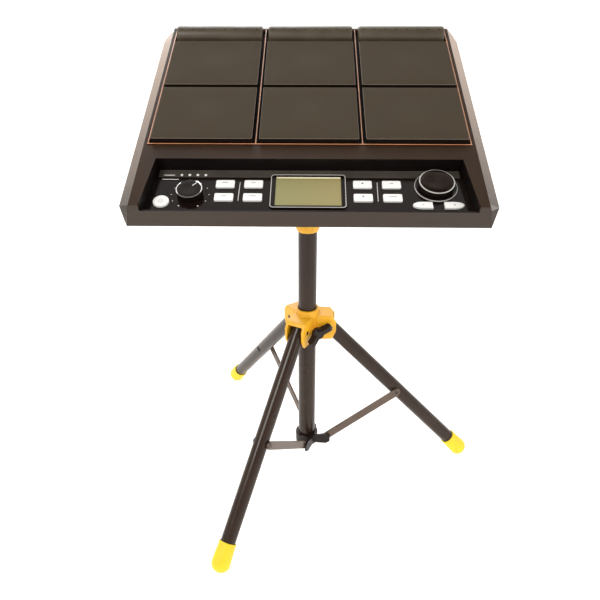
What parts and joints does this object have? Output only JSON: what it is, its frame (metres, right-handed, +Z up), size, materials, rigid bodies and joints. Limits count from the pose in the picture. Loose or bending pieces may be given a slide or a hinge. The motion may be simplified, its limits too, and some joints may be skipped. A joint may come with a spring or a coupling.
{
  "type": "electronic practice pad on stand",
  "caption": "Flat electronic practice pad with rubber playing pads and a control panel, on a folding tripod stand with adjustable height and tilt.",
  "frame": {"origin": "on the floor, under the centre of the object's bounding box", "axes": "+Z up, +Y away from the player, +X to the player's right"},
  "size_m": [0.4436, 0.4406, 0.6169],
  "materials": {
    "casing": "fine-textured dark brown-black moulding",
    "rubber": "matte playing rubber",
    "trim": "thin red-tan edge line",
    "panel": "gloss black overlay",
    "white": "satin white",
    "knob": "satin black",
    "dial": "dark anodised, turned",
    "chrome": "bright",
    "screen": "olive display behind clear plastic",
    "steel": "plain",
    "board": "solder-mask green",
    "tube": "semi-gloss black powder coat",
    "brace": "satin grey-brown",
    "black": "moulded black",
    "orange": "moulded orange",
    "yellow": "moulded yellow rubber"
  },
  "bodies": {
    "column": {"column_tube": "tube", "column_cap": "black", "spider": "black", "top_collar": "orange"},
    "hub": {"hub": "orange", "hub_pin_1": "steel", "hub_pin_2": "steel", "hub_pin_3": "steel"},
    "mast": {"inner_mast": "tube", "mast_head": "casing", "tilt_bolt": "steel"},
    "unit": {"mount_bracket": "black", "lower_shell": "casing", "upper_shell": "casing", "jack_panel": "panel", "sensor_plate": "steel", "circuit_board": "board", "trim_frame": "trim", "control_panel": "panel", "lcd_bezel": "chrome", "lcd_screen": "screen", "encoder_ring": "chrome", "led_strip": "white", "pad_1": "rubber", "pad_2": "rubber", "pad_3": "rubber", "pad_4": "rubber", "pad_5": "rubber", "pad_6": "rubber", "bar_pad_1": "rubber", "bar_pad_2": "rubber", "bar_pad_3": "rubber"},
    "collar_knob": {"collar_knob": "black"},
    "hub_knob": {"hub_knob": "black"},
    "tilt_knob": {"tilt_knob": "black"},
    "volume_knob": {"volume_knob": "knob"},
    "encoder_knob": {"encoder_knob": "dial"},
    "leg_1": {"leg_1": "tube", "foot_1": "yellow", "leg_bracket_1": "black"},
    "brace_1": {"brace_1": "brace"},
    "leg_2": {"leg_2": "tube", "foot_2": "yellow", "leg_bracket_2": "black"},
    "brace_2": {"brace_2": "brace"},
    "leg_3": {"leg_3": "tube", "foot_3": "yellow", "leg_bracket_3": "black"},
    "brace_3": {"brace_3": "brace"},
    "button_1": {"button_1": "white"},
    "button_2": {"button_2": "white"},
    "button_3": {"button_3": "white"},
    "button_4": {"button_4": "white"},
    "button_5": {"button_5": "white"},
    "button_6": {"button_6": "white"},
    "button_7": {"button_7": "white"},
    "button_8": {"button_8": "white"},
    "minus_button": {"minus_button": "white"},
    "plus_button": {"plus_button": "white"},
    "power_button": {"power_button": "white"}
  },
  "joints": [
    {"name": "hub_slide", "type": "slide", "parent": "column", "child": "hub", "axis": [0, 0, 1], "range_m": [0, 0.085]},
    {"name": "leg_1_fold", "type": "hinge", "parent": "hub", "child": "leg_1", "pos_m": [-0.0423, -0.01617, 0.247], "axis": [0.891, -0.454, 0], "range_deg": [0, 30.28]},
    {"name": "brace_1_fold", "type": "hinge", "parent": "column", "child": "brace_1", "pos_m": [-0.04276, -0.01706, 0.048], "axis": [-0.891, 0.454, 0], "range_deg": [0, 38.2]},
    {"name": "leg_2_fold", "type": "hinge", "parent": "hub", "child": "leg_2", "pos_m": [-0.00454, 0.00836, 0.247], "axis": [-0.0523, 0.9986, 0], "range_deg": [0, 30.28]},
    {"name": "brace_2_fold", "type": "hinge", "parent": "column", "child": "brace_2", "pos_m": [-0.00354, 0.00841, 0.048], "axis": [0.0523, -0.9986, 0], "range_deg": [0, 38.2]},
    {"name": "leg_3_fold", "type": "hinge", "parent": "hub", "child": "leg_3", "pos_m": [-0.04466, 0.02881, 0.247], "axis": [-0.8387, -0.5446, 0], "range_deg": [0, 30.28]},
    {"name": "brace_3_fold", "type": "hinge", "parent": "column", "child": "brace_3", "pos_m": [-0.04521, 0.02964, 0.048], "axis": [0.8387, 0.5446, 0], "range_deg": [0, 38.2]},
    {"name": "mast_slide", "type": "slide", "parent": "column", "child": "mast", "axis": [0, 0, 1], "range_m": [-0.025, 0.1]},
    {"name": "unit_tilt", "type": "hinge", "parent": "mast", "child": "unit", "pos_m": [-0.0305, 0.007, 0.478], "axis": [1, 0, 0], "range_deg": [-22, 20]},
    {"name": "collar_knob_turn", "type": "hinge", "parent": "column", "child": "collar_knob", "pos_m": [-0.0305, 0.007, 0.404], "axis": [0, 1, 0], "range_deg": [0, 360]},
    {"name": "hub_knob_turn", "type": "hinge", "parent": "hub", "child": "hub_knob", "pos_m": [-0.0305, 0.007, 0.243], "axis": [0.5446, -0.8387, 0], "range_deg": [0, 360]},
    {"name": "tilt_knob_turn", "type": "hinge", "parent": "mast", "child": "tilt_knob", "pos_m": [-0.0305, 0.007, 0.478], "axis": [1, 0, 0], "range_deg": [0, 360]},
    {"name": "volume_turn", "type": "hinge", "parent": "unit", "child": "volume_knob", "pos_m": [-0.1542, -0.12468, 0.48989], "axis": [0, -0.3746, 0.9272], "range_deg": [-110, 190]},
    {"name": "encoder_turn", "type": "hinge", "parent": "unit", "child": "encoder_knob", "pos_m": [0.1058, -0.11226, 0.49491], "axis": [0, -0.3746, 0.9272], "continuous": true},
    {"name": "button_1_press", "type": "slide", "parent": "unit", "child": "button_1", "axis": [0, 0.3746, -0.9272], "range_m": [0, 0.0012], "stiffness_N_per_m": 500, "springref_m": -0.0005},
    {"name": "button_2_press", "type": "slide", "parent": "unit", "child": "button_2", "axis": [0, 0.3746, -0.9272], "range_m": [0, 0.0012], "stiffness_N_per_m": 500, "springref_m": -0.0005},
    {"name": "button_3_press", "type": "slide", "parent": "unit", "child": "button_3", "axis": [0, 0.3746, -0.9272], "range_m": [0, 0.0012], "stiffness_N_per_m": 500, "springref_m": -0.0005},
    {"name": "button_4_press", "type": "slide", "parent": "unit", "child": "button_4", "axis": [0, 0.3746, -0.9272], "range_m": [0, 0.0012], "stiffness_N_per_m": 500, "springref_m": -0.0005},
    {"name": "button_5_press", "type": "slide", "parent": "unit", "child": "button_5", "axis": [0, 0.3746, -0.9272], "range_m": [0, 0.0012], "stiffness_N_per_m": 500, "springref_m": -0.0005},
    {"name": "button_6_press", "type": "slide", "parent": "unit", "child": "button_6", "axis": [0, 0.3746, -0.9272], "range_m": [0, 0.0012], "stiffness_N_per_m": 500, "springref_m": -0.0005},
    {"name": "button_7_press", "type": "slide", "parent": "unit", "child": "button_7", "axis": [0, 0.3746, -0.9272], "range_m": [0, 0.0012], "stiffness_N_per_m": 500, "springref_m": -0.0005},
    {"name": "button_8_press", "type": "slide", "parent": "unit", "child": "button_8", "axis": [0, 0.3746, -0.9272], "range_m": [0, 0.0012], "stiffness_N_per_m": 500, "springref_m": -0.0005},
    {"name": "minus_button_press", "type": "slide", "parent": "unit", "child": "minus_button", "axis": [0, 0.3746, -0.9272], "range_m": [0, 0.0012], "stiffness_N_per_m": 500, "springref_m": -0.0005},
    {"name": "plus_button_press", "type": "slide", "parent": "unit", "child": "plus_button", "axis": [0, 0.3746, -0.9272], "range_m": [0, 0.0012], "stiffness_N_per_m": 500, "springref_m": -0.0005},
    {"name": "power_button_press", "type": "slide", "parent": "unit", "child": "power_button", "axis": [0, 0.3746, -0.9272], "range_m": [0, 0.0012], "stiffness_N_per_m": 500, "springref_m": -0.0005}
  ],
  "couplings": [
    {"joint": "leg_1_fold", "follows": "hub_slide", "rad_per_m": 6.1771},
    {"joint": "brace_1_fold", "follows": "hub_slide", "rad_per_m": 7.8029},
    {"joint": "leg_2_fold", "follows": "hub_slide", "rad_per_m": 6.1771},
    {"joint": "brace_2_fold", "follows": "hub_slide", "rad_per_m": 7.8029},
    {"joint": "leg_3_fold", "follows": "hub_slide", "rad_per_m": 6.1771},
    {"joint": "brace_3_fold", "follows": "hub_slide", "rad_per_m": 7.8029}
  ]
}
